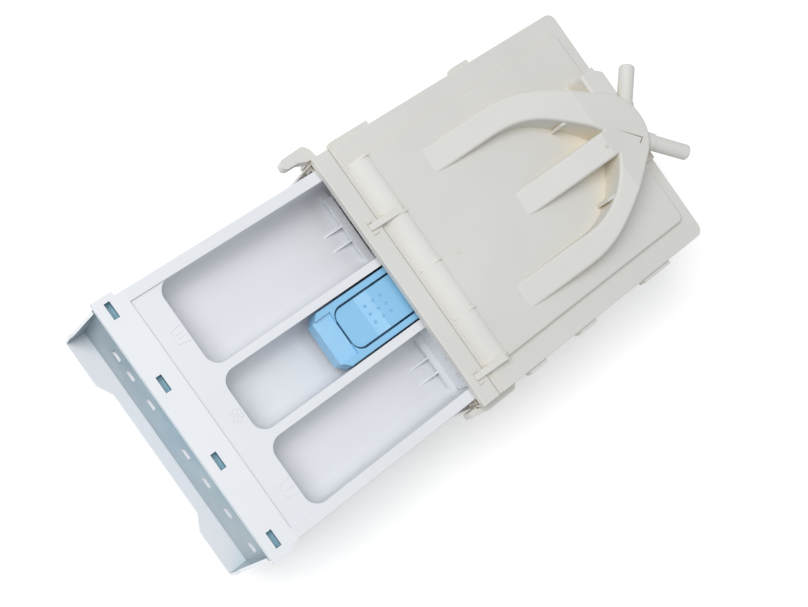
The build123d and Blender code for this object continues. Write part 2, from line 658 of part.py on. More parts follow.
with BuildPart() as hook_bracket_right:
    with BuildSketch(Plane.XY.offset(LOBE_Z)) as lobe_outline:
        with BuildLine():
            Polyline(
                (BOX_HALF, MOUTH_Y + LOBE_REAR_D),
                (BOX_HALF + LOBE_OUT, MOUTH_Y + LOBE_REAR_D - LOBE_OUT),
                (BOX_HALF + LOBE_OUT, MOUTH_Y + LOBE_FRONT_D),
                (BOX_HALF + LOBE_OUT / 2, MOUTH_Y - LOBE_FRONT_D),
                (BOX_HALF - LOBE_OVERHANG, MOUTH_Y - LOBE_FRONT_D),
                (BOX_HALF - LOBE_OVERHANG, MOUTH_Y),
                (BOX_HALF, MOUTH_Y),
                close=True,
            )
        make_face()
        fillet(lobe_outline.vertices().group_by(Axis.X)[-1], LOBE_R)
    extrude(amount=LOBE_H)
finish(hook_bracket_right, "hook_bracket_right")

# ---- clips along the housing's sides -------------------------------------
CLIP_OUT = 3.6
CLIP_H = 11.0
CLIP_SLOPE = 3.0
LEFT_CLIPS = ((-138.0, -104.5), (-21.4, -6.0))
RIGHT_CLIPS = ((-112.0, -96.0), (-60.0, -43.0), (11.6, 40.0))

for sign, clips, name in ((-1, LEFT_CLIPS, "side_clips_left"), (1, RIGHT_CLIPS, "side_clips_right")):
    with BuildPart() as side_clips:
        for start, end in clips:
            with BuildSketch(Plane.XZ.offset(-start)):
                with BuildLine():
                    Polyline(
                        (sign * BOX_HALF, BOX_TOP_Z),
                        (sign * (BOX_HALF + CLIP_OUT), BOX_TOP_Z),
                        (sign * (BOX_HALF + CLIP_OUT), BOX_TOP_Z - CLIP_H + CLIP_SLOPE),
                        (sign * BOX_HALF, BOX_TOP_Z - CLIP_H),
                        close=True,
                    )
                make_face()
            extrude(amount=-(end - start))
    finish(side_clips, name)

# ---- housing cover -------------------------------------------------------
COVER_Z = BOX_TOP_Z + COVER_T
PLATEAU_Z = COVER_Z + PLATEAU_RISE
COVER_EDGE_R = 0.6
PLATEAU_R = 5.0
PLATEAU_EDGE_R = 1.6
RIDGE_RISE = 1.6           # the ridge stands above the plateau by this much
RIDGE_LIP_T = 1.0
RIDGE_CROWN_D = 2.2
RIDGE_SAG = 1.1            # the slope up from the groove is hollow
RIDGE_RIB_W = 1.6
RIDGE_RIB_RISE = 1.0
PLATEAU_Y = COVER_FRONT_Y + RIDGE_D
PLATEAU_FRONT_Y = COVER_FRONT_Y + 4.0
ROOT_SEAT_X = (-50.0, 34.0)  # raised seat under the channels' root
ROOT_SEAT_D = 19.0
FEED_L = 60.0
FEED_W = ARM_W - 8.0
FEED_SETBACK = 22.0
CHAMBER_RIB_X = (-26.0, 31.5)
CHAMBER_RIB_W = 2.0
SNAP_ARM_W = 6.3
SNAP_ARM_TIP_W = 4.6       # the arms taper towards their tips
SNAP_ARM_T = 1.5
SNAP_ARM_RISE = 1.0        # their crown stands above the ridge by this much
SNAP_ARM_LIFT = 0.1        # and their tips clear the bar by this much
SNAP_ARM_EDGE_R = 0.7
GATE_MARK_R = 1.5          # moulding marks
GATE_MARK_H = 0.4
COVER_MARK = (5.7, -108.1)
ridge_top = PLATEAU_Z + RIDGE_RISE
ridge_lip_z = BOX_TOP_Z + RIDGE_LIP_T
clear_y = COVER_FRONT_Y - OPEN_TOP
crown_y = PLATEAU_Y - RIDGE_CROWN_D
bar_top = BOX_TOP_Z + BAR_T


def snap_arm(x):
    """Tapered arm from the ridge's crown over the groove to a catch."""
    tip_y = CATCH_Y - CATCH_D / 2
    with BuildPart() as arm:
        with BuildSketch(Plane.YZ.offset(x - SNAP_ARM_W / 2)):
            with BuildLine():
                Polyline(
                    (tip_y, bar_top + SNAP_ARM_LIFT),
                    (tip_y, bar_top + SNAP_ARM_T),
                    (crown_y, ridge_top + SNAP_ARM_RISE),
                    (PLATEAU_Y, ridge_top + SNAP_ARM_RISE / 2),
                    (PLATEAU_Y, BOX_TOP_Z + COVER_T),
                    (COVER_FRONT_Y + GROOVE_D, BOX_TOP_Z + COVER_T),
                    (COVER_FRONT_Y, bar_top + SNAP_ARM_LIFT),
                    close=True,
                )
            make_face()
        extrude(amount=SNAP_ARM_W)
        with BuildSketch(Plane.XY.offset(BOX_TOP_Z)):
            with BuildLine():
                Polyline(
                    (x - SNAP_ARM_TIP_W / 2, tip_y),
                    (x + SNAP_ARM_TIP_W / 2, tip_y),
                    (x + SNAP_ARM_W / 2, PLATEAU_Y),
                    (x - SNAP_ARM_W / 2, PLATEAU_Y),
                    close=True,
                )
            make_face()
        extrude(amount=ridge_top + SNAP_ARM_RISE - BOX_TOP_Z, mode=Mode.INTERSECT)
        sloping = [e for e in arm.edges() if e.center().Z > bar_top + SNAP_ARM_T and
                   e.center().Y < crown_y and abs(e.center().X - x) > SNAP_ARM_TIP_W / 4]
        fillet(sloping, SNAP_ARM_EDGE_R)
    return arm.part


with BuildPart() as housing_cover:
    with BuildSketch(Plane.XY.offset(BOX_TOP_Z)) as cover_outline:
        with Locations((0, (COVER_FRONT_Y + COVER_REAR_Y) / 2)):
            Rectangle(2 * COVER_HALF, COVER_REAR_Y - COVER_FRONT_Y)
        fillet(cover_outline.vertices().group_by(Axis.Y)[-1], COVER_R)
    extrude(amount=COVER_T)
    fillet(housing_cover.faces().sort_by(Axis.Z)[-1].edges(), COVER_EDGE_R)
    # raised plateau, with a seat at the rear for the channels' root
    with BuildSketch(Plane.XY.offset(BOX_TOP_Z)) as plateau_outline:
        with Locations((0, (PLATEAU_FRONT_Y + PLATEAU_REAR_Y) / 2)):
            Rectangle(2 * PLATEAU_HALF, PLATEAU_REAR_Y - PLATEAU_FRONT_Y)
        fillet(plateau_outline.vertices().group_by(Axis.Y)[-1], PLATEAU_R)
        with Locations((sum(ROOT_SEAT_X) / 2, COVER_REAR_Y - ROOT_SEAT_D / 2)):
            Rectangle(ROOT_SEAT_X[1] - ROOT_SEAT_X[0], ROOT_SEAT_D)
    extrude(amount=PLATEAU_Z - BOX_TOP_Z)
    plateau_top = housing_cover.faces().sort_by(Axis.Z)[-1]
    fillet(plateau_top.edges(), PLATEAU_EDGE_R)
    # front ridge: a hollow slope up from the groove, a crown and a gutter
    with BuildSketch(Plane.YZ.offset(-PLATEAU_HALF)):
        with BuildLine():
            Line((COVER_FRONT_Y, BOX_TOP_Z), (COVER_FRONT_Y, ridge_lip_z))
            SagittaArc((COVER_FRONT_Y, ridge_lip_z), (crown_y, ridge_top), RIDGE_SAG)
            Line((crown_y, ridge_top), (PLATEAU_Y, ridge_top))
            Line((PLATEAU_Y, ridge_top), (PLATEAU_Y, BOX_TOP_Z))
            Line((PLATEAU_Y, BOX_TOP_Z), (COVER_FRONT_Y, BOX_TOP_Z))
        make_face()
    extrude(amount=2 * PLATEAU_HALF)
    with BuildSketch(Plane.YZ.offset(-PLATEAU_HALF - OPEN_TOP)):
        with BuildLine():
            Line((clear_y, ridge_top), (clear_y, ridge_lip_z))
            Line((clear_y, ridge_lip_z), (COVER_FRONT_Y, ridge_lip_z))
            SagittaArc((COVER_FRONT_Y, ridge_lip_z), (crown_y, ridge_top), RIDGE_SAG)
            Line((crown_y, ridge_top), (clear_y, ridge_top))
        make_face()
    extrude(amount=2 * (PLATEAU_HALF + OPEN_TOP), mode=Mode.SUBTRACT)
    for x in RIDGE_RIB_X:
        with BuildSketch(Plane.YZ.offset(x - RIDGE_RIB_W / 2)):
            with BuildLine():
                Polyline(
                    (COVER_FRONT_Y, BOX_TOP_Z),
                    (COVER_FRONT_Y, ridge_lip_z + RIDGE_RIB_RISE),
                    (crown_y, ridge_top + RIDGE_RIB_RISE),
                    (PLATEAU_Y + RIDGE_RIB_RISE, ridge_top + RIDGE_RIB_RISE),
                    (PLATEAU_Y + RIDGE_RIB_RISE, BOX_TOP_Z),
                    close=True,
                )
            make_face()
        extrude(amount=RIDGE_RIB_W)
    # snap arms reach over the groove to the catches on the mouth bar
    for x in CATCH_X:
        add(snap_arm(x))
    # water chamber under the plateau, divided for the three wells
    chamber_y = (PLATEAU_Y + WALL, PLATEAU_REAR_Y - WALL)
    with BuildSketch(Plane.XY.offset(BOX_TOP_Z)):
        with Locations((0, sum(chamber_y) / 2)):
            Rectangle(2 * (PLATEAU_HALF - WALL), chamber_y[1] - chamber_y[0])
        for x in CHAMBER_RIB_X:
            with Locations((x, sum(chamber_y) / 2)):
                Rectangle(CHAMBER_RIB_W, chamber_y[1] - chamber_y[0], mode=Mode.SUBTRACT)
    extrude(amount=PLATEAU_Z - BOX_TOP_Z - COVER_T, mode=Mode.SUBTRACT)
    # feed openings below the arms
    with BuildSketch(Plane.XY.offset(PLATEAU_Z + OPEN_TOP)):
        for x, front_y in zip(ARM_X, (ARM_FRONT_Y, MIDDLE_FRONT_Y, ARM_FRONT_Y)):
            with Locations((x, front_y + FEED_SETBACK + FEED_L / 2)):
                Rectangle(FEED_W, FEED_L)
    extrude(amount=-(PLATEAU_Z - BOX_TOP_Z), mode=Mode.SUBTRACT)
    with BuildSketch(Plane.XY.offset(PLATEAU_Z)):
        with Locations(COVER_MARK):
            Circle(GATE_MARK_R)
    extrude(amount=GATE_MARK_H)
finish(housing_cover, "housing_cover")

# ---- shower plate --------------------------------------------------------
SHOWER_T = 1.6
SHOWER_HALF = 96.5
SHOWER_HOLE_R = 1.3
SHOWER_PITCH = 11.0
SHOWER_ROWS = 11
SHOWER_Y = -45.0
SHOWER_FIELDS = ((-54.5, 4), (2.6, 3), (57.0, 4))   # centre and columns over each well
SHOWER_MARGIN = 2.0

with BuildPart() as shower_plate:
    with BuildSketch(Plane.XY.offset(BOX_TOP_Z - SHOWER_T)):
        with Locations((0, (chamber_y[0] + chamber_y[1]) / 2)):
            Rectangle(2 * SHOWER_HALF, chamber_y[1] - chamber_y[0] + 2 * SHOWER_MARGIN)
        for x, columns in SHOWER_FIELDS:
            with Locations((x, SHOWER_Y)):
                with GridLocations(SHOWER_PITCH, SHOWER_PITCH, columns, SHOWER_ROWS):
                    Circle(SHOWER_HOLE_R, mode=Mode.SUBTRACT)
    extrude(amount=SHOWER_T)
finish(shower_plate, "shower_plate")

# ---- cover seal, around three sides of the box ---------------------------
SEAL_W = 1.8
SEAL_H = 2.0

with BuildPart() as cover_seal:
    inner_half = BOX_HALF - WALL
    inner_rear = BOX_REAR_Y - WALL
    seal_front = COVER_FRONT_Y + 2.0
    with BuildSketch(Plane.XY.offset(BOX_TOP_Z - SEAL_H)):
        with BuildLine():
            Polyline(
                (-inner_half, seal_front),
                (-inner_half, inner_rear),
                (inner_half, inner_rear),
                (inner_half, seal_front),
                (inner_half - SEAL_W, seal_front),
                (inner_half - SEAL_W, inner_rear - SEAL_W),
                (-inner_half + SEAL_W, inner_rear - SEAL_W),
                (-inner_half + SEAL_W, seal_front),
                close=True,
            )
        make_face()
    extrude(amount=SEAL_H)
finish(cover_seal, "cover_seal")

# ---- water channels: three arms from one root ----------------------------
MANIFOLD_TOP = PLATEAU_Z + CHANNEL_H
ARM_HALF = ARM_W / 2
OUTER_X = (ARM_X[0] - ARM_HALF, ARM_X[2] + ARM_HALF)
INNER_X = (ARM_X[0] + ARM_HALF, ARM_X[2] - ARM_HALF)
MIDDLE_X = (ARM_X[1] - ARM_HALF, ARM_X[1] + ARM_HALF)
BEND_Y = -36.0
CROTCH_Y = 38.0
LEFT_TANGENT = 150.0        # angles on the root where the arms' outer walls meet it
RIGHT_TANGENT = 35.0
TOP_FILLET = 2.2
SINK = 3.0                  # the arms are drawn from this far below the plateau
TIP_SINK = 0.4
INNER_SETBACK = 14.0        # the passages start this far behind the arms' ends
FAR = 60.0
VENT_OUTLINE = ((-46.9, 50.0), (-46.9, 63.0), (-41.5, 70.4), (-21.5, 70.4), (-8.0, 62.0), (-8.0, 50.0))
VENT_H = 20.0
VENT_R = 2.6
BAY_RIBS = ((-25.6, 17.6), (38.4, 13.6))
BAY_RIB_SIZE = (2.2, 8.0)
BAY_RIB_H = 15.5
SLIT = ((-0.3, 47.7), (15.8, 64.2), (18.6, 58.6), (17.9, 58.2), (15.5, 62.6))
ROOT_MARK = (5.5, 32.4)
SOCKET_R = 7.0
SOCKET_END = 25.5           # from the crossing to the socket rims' ends
SOCKET_START = 16.0
NECK_R = 5.5                # the nipple's neck inside its socket


def on_root(angle, shrink):
    """Point on the root's wall, drawn in by shrink."""
    spoke = Vector(ROOT_R - shrink, 0).rotate(Axis.Z, angle)
    return (ROOT_X + spoke.X, ROOT_Y + spoke.Y)


def along_root(angle):
    """Clockwise direction along the root's wall."""
    heading = Vector(1, 0).rotate(Axis.Z, angle - 90)
    return (heading.X, heading.Y)


def channel_outline(shrink):
    """Plan of the three arms and their root, drawn in by shrink."""
    left_x = OUTER_X[0] + shrink
    right_x = OUTER_X[1] - shrink
    left_join = on_root(LEFT_TANGENT, shrink)
    right_join = on_root(RIGHT_TANGENT, shrink)
    bay_left_x = INNER_X[0] - shrink
    bay_right_x = INNER_X[1] + shrink
    middle_left_x = MIDDLE_X[0] + shrink
    middle_right_x = MIDDLE_X[1] - shrink
    crotch_y = CROTCH_Y + shrink
    with BuildSketch() as outline:
        with BuildLine():
            Line((left_x, ARM_FRONT_Y), (left_x, BEND_Y))
            Spline(
                (left_x, BEND_Y),
                (left_x + 3.6, -6.0),
                (left_x + 13.6, 18.0),
                left_join,
                tangents=[(0, 1), along_root(LEFT_TANGENT)],
            )
            Line(left_join, right_join)
            Spline(
                right_join,
                (right_x - 21.0, 31.0),
                (right_x - 4.4, -2.0),
                (right_x, BEND_Y),
                tangents=[along_root(RIGHT_TANGENT), (0, -1)],
            )
            Line((right_x, BEND_Y), (right_x, ARM_FRONT_Y))
            Line((right_x, ARM_FRONT_Y), (left_x, ARM_FRONT_Y))
        make_face()
        with Locations((ROOT_X, ROOT_Y)):
            Circle(ROOT_R - shrink)
        # bays between the arms, open to the front
        with BuildLine():
            Line((bay_left_x, ARM_FRONT_Y), (bay_left_x, BEND_Y))
            Spline(
                (bay_left_x, BEND_Y),
                (bay_left_x + 8.0, shrink / 2),
                (bay_left_x + 23.0, 20.0 + shrink),
                (middle_left_x, crotch_y),
                tangents=[(0, 1), (0.8, 0.6)],
            )
            Line((middle_left_x, crotch_y), (middle_left_x, ARM_FRONT_Y))
            Line((middle_left_x, ARM_FRONT_Y), (bay_left_x, ARM_FRONT_Y))
        make_face(mode=Mode.SUBTRACT)
        with BuildLine():
            Line((bay_right_x, ARM_FRONT_Y), (bay_right_x, BEND_Y))
            Spline(
                (bay_right_x, BEND_Y),
                (bay_right_x - 2.0, shrink / 2),
                (bay_right_x - 12.5, 20.0 + shrink),
                (middle_right_x, crotch_y),
                tangents=[(0, 1), (-0.8, 0.6)],
            )
            Line((middle_right_x, crotch_y), (middle_right_x, ARM_FRONT_Y))
            Line((middle_right_x, ARM_FRONT_Y), (bay_right_x, ARM_FRONT_Y))
        make_face(mode=Mode.SUBTRACT)
    return outline.sketch


def above_ramp(x_min, x_max, start_y, low_z, high_z):
    """The space above a ramp that climbs from start_y up to the root."""
    with BuildPart() as space:
        with BuildSketch(Plane.YZ.offset(x_min)):
            with BuildLine():
                Polyline(
                    (start_y - FAR, low_z),
                    (start_y, low_z),
                    (RAMP_END_Y, high_z),
                    (RAMP_END_Y, high_z + CHANNEL_H),
                    (start_y - FAR, high_z + CHANNEL_H),
                    close=True,
                )
            make_face()
        extrude(amount=x_max - x_min)
    return space.part


def nipple_plane(turn, distance):
    """Plane across a nipple's axis, at a distance from the crossing."""
    along = Vector(0, 1, 0).rotate(Axis.Z, turn)
    centre = Vector(NIPPLE_X, NIPPLE_Y, NIPPLE_Z) + along * distance
    return Plane(centre, x_dir=(0, 0, 1), z_dir=along)


RAMP_FIELDS = (
    (OUTER_X[0] - SINK, MIDDLE_X[0] - OPEN_TOP, ARM_FRONT_Y),
    (MIDDLE_X[0] - OPEN_TOP, MIDDLE_X[1] + OPEN_TOP, MIDDLE_FRONT_Y),
    (MIDDLE_X[1] + OPEN_TOP, OUTER_X[1] + SINK, ARM_FRONT_Y),
)
outer_plan = channel_outline(0.0)
inner_plan = channel_outline(CHANNEL_WALL)
outer_ramps = [above_ramp(x0, x1, y, PLATEAU_Z - TIP_SINK, MANIFOLD_TOP) for x0, x1, y in RAMP_FIELDS]
inner_ramps = [
    above_ramp(x0, x1, y + INNER_SETBACK, PLATEAU_Z, MANIFOLD_TOP - CHANNEL_WALL)
    for x0, x1, y in RAMP_FIELDS
]

with BuildPart() as channel_space:
    with BuildSketch(Plane.XY.offset(PLATEAU_Z)):
        add(inner_plan)
    extrude(amount=CHANNEL_H - CHANNEL_WALL)
    for ramp in inner_ramps:
        add(ramp, mode=Mode.SUBTRACT)

# air vent beside the root
with BuildPart() as air_vent:
    with BuildSketch(Plane.XY.offset(PLATEAU_Z)) as vent_outline:
        with BuildLine():
            Polyline(*VENT_OUTLINE, close=True)
        make_face()
        fillet(vent_outline.vertices(), VENT_R)
    extrude(amount=VENT_H)
    fillet(air_vent.faces().sort_by(Axis.Z)[-1].edges(), TOP_FILLET)

with BuildPart() as water_channels:
    with BuildSketch(Plane.XY.offset(PLATEAU_Z - SINK)):
        add(outer_plan)
        with Locations((ARM_X[1], (ARM_FRONT_Y + MIDDLE_FRONT_Y) / 2)):
            Rectangle(ARM_W + 2 * OPEN_TOP, MIDDLE_FRONT_Y - ARM_FRONT_Y, mode=Mode.SUBTRACT)
    extrude(amount=CHANNEL_H + SINK)
    for ramp in outer_ramps:
        add(ramp, mode=Mode.SUBTRACT)
    tops = [f for f in water_channels.faces() if f.normal_at().Z > 0.5]
    rim = [e for f in tops for e in f.edges() if abs(e.center().Y - RAMP_END_Y) > 0.1]
    fillet(rim, TOP_FILLET)
    # the arms' front ends fade out at the plateau
    split(bisect_by=Plane.XY.offset(PLATEAU_Z), keep=Keep.TOP)
    add(air_vent.part)
    # upright ribs on the bays' walls
    with BuildSketch(Plane.XY.offset(PLATEAU_Z)):
        with Locations(*BAY_RIBS):
            Rectangle(*BAY_RIB_SIZE)
    extrude(amount=BAY_RIB_H)
    for turn in (NIPPLE_TURN, -NIPPLE_TURN):
        with BuildSketch(nipple_plane(turn, SOCKET_START)):
            Circle(SOCKET_R)
        extrude(amount=SOCKET_END - SOCKET_START)
    add(channel_space.part, mode=Mode.SUBTRACT)
    # sockets for the two hose nipples
    for turn in (NIPPLE_TURN, -NIPPLE_TURN):
        with BuildSketch(nipple_plane(turn, 0.0)):
            Circle(NECK_R)
        extrude(amount=SOCKET_END + OPEN_TOP, mode=Mode.SUBTRACT)
    # narrow slit in the roof, and the moulding mark beside it
    with BuildSketch(Plane.XY.offset(MANIFOLD_TOP + OPEN_TOP)):
        with BuildLine():
            Polyline(*SLIT, close=True)
        make_face()
    extrude(amount=-(CHANNEL_WALL + 2 * OPEN_TOP), mode=Mode.SUBTRACT)
    with BuildSketch(Plane.XY.offset(MANIFOLD_TOP - CHANNEL_WALL / 2)):
        with Locations(ROOT_MARK):
            Circle(GATE_MARK_R)
    extrude(amount=CHANNEL_WALL / 2 + GATE_MARK_H)
finish(water_channels, "water_channels")

# ---- hose nipples, crossed so that their jets meet in the root -----------
JET_TIP = 4.0
JET_R = 3.8
JET_BORE_R = 2.4
JET_END = 14.0
TIP_R = 1.8

for turn, name in ((NIPPLE_TURN, "inlet_nipple_left"), (-NIPPLE_TURN, "inlet_nipple_right")):
    along = Vector(0, 1, 0).rotate(Axis.Z, turn)
    side_plane = Plane((NIPPLE_X, NIPPLE_Y, NIPPLE_Z), x_dir=along, z_dir=(0, 0, 1))
    with BuildPart() as inlet_nipple:
        with BuildSketch(side_plane):
            with BuildLine():
                Polyline(
                    (NIPPLE_REACH, NIPPLE_R - TIP_R),
                    (NIPPLE_REACH, NIPPLE_BORE_R),
                    (JET_END, NIPPLE_BORE_R),
                    (JET_TIP, JET_BORE_R),
                    (JET_TIP, JET_R),
                    (JET_END, NECK_R),
                    (SOCKET_END, NECK_R),
                    (SOCKET_END, NIPPLE_R),
                    (NIPPLE_REACH - TIP_R, NIPPLE_R),
                )
                RadiusArc((NIPPLE_REACH - TIP_R, NIPPLE_R), (NIPPLE_REACH, NIPPLE_R - TIP_R), TIP_R)
            make_face()
        revolve(axis=Axis((NIPPLE_X, NIPPLE_Y, NIPPLE_Z), along))
    finish(inlet_nipple, name)
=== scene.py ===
import json
import math

import bmesh
import bpy
from mathutils import Matrix, Vector


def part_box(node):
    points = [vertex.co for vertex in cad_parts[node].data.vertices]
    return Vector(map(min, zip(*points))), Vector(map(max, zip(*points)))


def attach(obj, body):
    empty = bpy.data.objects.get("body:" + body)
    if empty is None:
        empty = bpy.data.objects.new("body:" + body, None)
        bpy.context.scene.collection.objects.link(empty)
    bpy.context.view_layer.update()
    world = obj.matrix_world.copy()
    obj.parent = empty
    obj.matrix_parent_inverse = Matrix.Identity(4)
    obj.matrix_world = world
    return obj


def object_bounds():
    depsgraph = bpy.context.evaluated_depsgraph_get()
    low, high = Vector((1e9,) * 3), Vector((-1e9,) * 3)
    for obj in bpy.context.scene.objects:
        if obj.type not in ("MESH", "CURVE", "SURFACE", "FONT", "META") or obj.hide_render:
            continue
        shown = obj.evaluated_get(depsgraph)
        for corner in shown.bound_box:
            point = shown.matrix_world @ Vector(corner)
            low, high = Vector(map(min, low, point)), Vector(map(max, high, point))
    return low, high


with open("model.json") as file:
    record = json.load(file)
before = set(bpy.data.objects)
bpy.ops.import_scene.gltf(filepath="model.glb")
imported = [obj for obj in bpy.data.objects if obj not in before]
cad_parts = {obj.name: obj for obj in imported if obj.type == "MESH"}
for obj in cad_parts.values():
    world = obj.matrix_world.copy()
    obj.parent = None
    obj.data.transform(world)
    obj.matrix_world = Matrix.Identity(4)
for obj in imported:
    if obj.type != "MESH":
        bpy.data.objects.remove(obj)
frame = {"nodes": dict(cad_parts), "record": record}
CAD_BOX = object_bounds()

MM = 0.001


def low(node):
    """Lowest corner of a CAD node, in metres."""
    return Vector(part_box(node)[0])


def high(node):
    """Highest corner of a CAD node, in metres."""
    return Vector(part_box(node)[1])


# ---- shader nodes ---------------------------------------------------------
def noise(nodes, links, coords, scale, detail):
    """A noise texture in the object's own coordinates."""
    texture = nodes.new("ShaderNodeTexNoise")
    texture.inputs["Scale"].default_value = scale
    texture.inputs["Detail"].default_value = detail
    links.new(coords.outputs["Object"], texture.inputs["Vector"])
    return texture.outputs["Fac"]


def bump(nodes, links, height, strength, distance, normal=None):
    """A bump of the given height, on top of another if there is one."""
    node = nodes.new("ShaderNodeBump")
    node.inputs["Strength"].default_value = strength
    node.inputs["Distance"].default_value = distance
    links.new(height, node.inputs["Height"])
    if normal is not None:
        links.new(normal, node.inputs["Normal"])
    return node.outputs["Normal"]


def map_range(nodes, links, value, source, result=(0.0, 1.0)):
    """Map a value from the source range to the result range."""
    node = nodes.new("ShaderNodeMapRange")
    node.inputs["From Min"].default_value = source[0]
    node.inputs["From Max"].default_value = source[1]
    node.inputs["To Min"].default_value = result[0]
    node.inputs["To Max"].default_value = result[1]
    links.new(value, node.inputs["Value"])
    return node.outputs["Result"]


def color_ramp(nodes, links, value, stops):
    """A colour ramp through stops, each a position and a colour, in rising order."""
    node = nodes.new("ShaderNodeValToRGB")
    elements = node.color_ramp.elements
    for i, (position, color) in enumerate((stops[0], stops[-1])):
        elements[i].position = position
        elements[i].color = (*color, 1.0)
    for position, color in stops[1:-1]:
        elements.new(position).color = (*color, 1.0)
    links.new(value, node.inputs["Fac"])
    return node.outputs["Color"]


def compare(nodes, links, operation, value, limit):
    """1 where the value is on the asked side of a fixed limit, 0 elsewhere."""
    node = nodes.new("ShaderNodeMath")
    node.operation = operation
    node.inputs[1].default_value = limit
    links.new(value, node.inputs[0])
    return node.outputs["Value"]


def combine(nodes, links, operation, first, second):
    """A math node on two values."""
    node = nodes.new("ShaderNodeMath")
    node.operation = operation
    links.new(first, node.inputs[0])
    links.new(second, node.inputs[1])
    return node.outputs["Value"]


# ---- materials ------------------------------------------------------------
DRIFT_BAND = (0.32, 0.68)      # noise values between which the colour drifts
GLOSS_BAND = (0.3, 0.7)        # noise values between which the roughness varies
GLOSS_SPREAD = (-0.05, 0.07)   # added to the roughness at both ends of that band
OCCLUSION_SAMPLES = 8
GRAIN_HEIGHT = 0.1 * MM
WAVE_STRENGTH = 0.25
WAVE_HEIGHT = 0.6 * MM
COAT_ROUGHNESS = 0.2


def plastic(name, color, painted_recess_color, roughness, shading_reach=0.03, mottle=0.02, grain=0.15, coat=0.0,
            shading_start=0.25, shading_end=0.85):
    """Moulded plastic: drifting colour, painted light and shade in its recesses, mould grain and uneven
    gloss.
    """
    mat = bpy.data.materials.new(name)
    mat.use_nodes = True
    nodes, links = mat.node_tree.nodes, mat.node_tree.links
    shader = nodes["Principled BSDF"]
    coords = nodes.new("ShaderNodeTexCoord")
    # slow drift of colour across the moulding
    darker = [c * (1.0 - 2.0 * mottle) for c in color]
    lighter = [min(1.0, c * (1.0 + mottle)) for c in color]
    drift = noise(nodes, links, coords, scale=14.0, detail=4.0)
    drifting = color_ramp(nodes, links, drift, ((DRIFT_BAND[0], darker), (DRIFT_BAND[1], lighter)))
    # painted light and shade: parts that ambient occlusion finds hidden blend toward the painted recess
    # colour
    hollow = nodes.new("ShaderNodeAmbientOcclusion")
    hollow.samples = OCCLUSION_SAMPLES
    hollow.inputs["Distance"].default_value = shading_reach
    open_part = map_range(nodes, links, hollow.outputs["AO"], (shading_start, shading_end))
    painted_shading = nodes.new("ShaderNodeMix")
    painted_shading.data_type = "RGBA"
    painted_shading.inputs["A"].default_value = (*painted_recess_color, 1.0)
    links.new(open_part, painted_shading.inputs["Factor"])
    links.new(drifting, painted_shading.inputs["B"])
    links.new(painted_shading.outputs["Result"], shader.inputs["Base Color"])
    # gloss varies in small patches
    patches = noise(nodes, links, coords, scale=60.0, detail=3.0)
    gloss = (roughness + GLOSS_SPREAD[0], roughness + GLOSS_SPREAD[1])
    links.new(map_range(nodes, links, patches, GLOSS_BAND, gloss), shader.inputs["Roughness"])
    # mould grain over the faint waviness of a cooled shell
    fine = noise(nodes, links, coords, scale=1100.0, detail=2.0)
    wavy = noise(nodes, links, coords, scale=22.0, detail=1.0)
    skin = bump(nodes, links, fine, grain, GRAIN_HEIGHT)
    links.new(bump(nodes, links, wavy, WAVE_STRENGTH, WAVE_HEIGHT, skin), shader.inputs["Normal"])
    shader.inputs["Coat Weight"].default_value = coat
    shader.inputs["Coat Roughness"].default_value = COAT_ROUGHNESS
    return mat


# each material's second colour is painted into its recesses: lighter than the base on drawer and housing
# (painted light), darker on front frame, insert and seal (painted shade); the front frame's teal stands for
# shade lit by reflected blue light
DRAWER_WHITE = plastic("drawer_white", (0.68, 0.70, 0.74), (0.70, 0.72, 0.76), 0.38, mottle=0.008,
                       grain=0.10, coat=0.08)
FRONT_WHITE = plastic("front_white", (0.70, 0.72, 0.755), (0.48, 0.62, 0.69), 0.36, mottle=0.008,
                      grain=0.10, coat=0.08, shading_reach=0.03, shading_start=0.10, shading_end=0.50)
HOUSING_CREAM = plastic("housing_cream", (0.605, 0.60, 0.578), (0.74, 0.69, 0.58), 0.50, mottle=0.018,
                        grain=0.22, shading_reach=0.025, shading_start=0.15, shading_end=0.70)
INSERT_BLUE = plastic("insert_blue", (0.235, 0.50, 0.75), (0.22, 0.49, 0.74), 0.26, mottle=0.02,
                      grain=0.04, coat=0.15)
SEAL_RUBBER = plastic("seal_rubber", (0.035, 0.035, 0.037), (0.02, 0.02, 0.02), 0.72, mottle=0.10,
                      grain=0.30)

# ---- painted teal shade on the front frame's upright face -----------------
SHADE_CLEAR = 12.0 * MM         # the painted shade is full from this far below the frame's top
SHADE_LOWEST = 0.68             # share of the painted shade at the frame's lowest edge
FORWARD_LIMIT = -0.7           # a face looks forwards where its normal's Y is below this
FACE_DEPTH = 21.5 * MM         # forward faces nearer than this to the frame's rear carry the painted shade
CHEEK_LIMIT = -60.0 * MM       # X times the normal's X is below this only inside the end cheeks
PATCH_BAND = (0.35, 0.65)      # noise values between which the painted shade is uneven
PATCH_SHARE = (0.88, 1.0)
# teal colours of the painted shade, standing for shade lit by reflected blue light
LEFT_SHADE_PAINT = (0.10, 0.18, 0.23)
MIDDLE_SHADE_PAINT = (0.01, 0.15, 0.24)
RIGHT_SHADE_PAINT = (0.215, 0.30, 0.345)
SHADE_PAINT_STOPS = (0.12, 0.5, 0.88)  # along the frame, from its left end


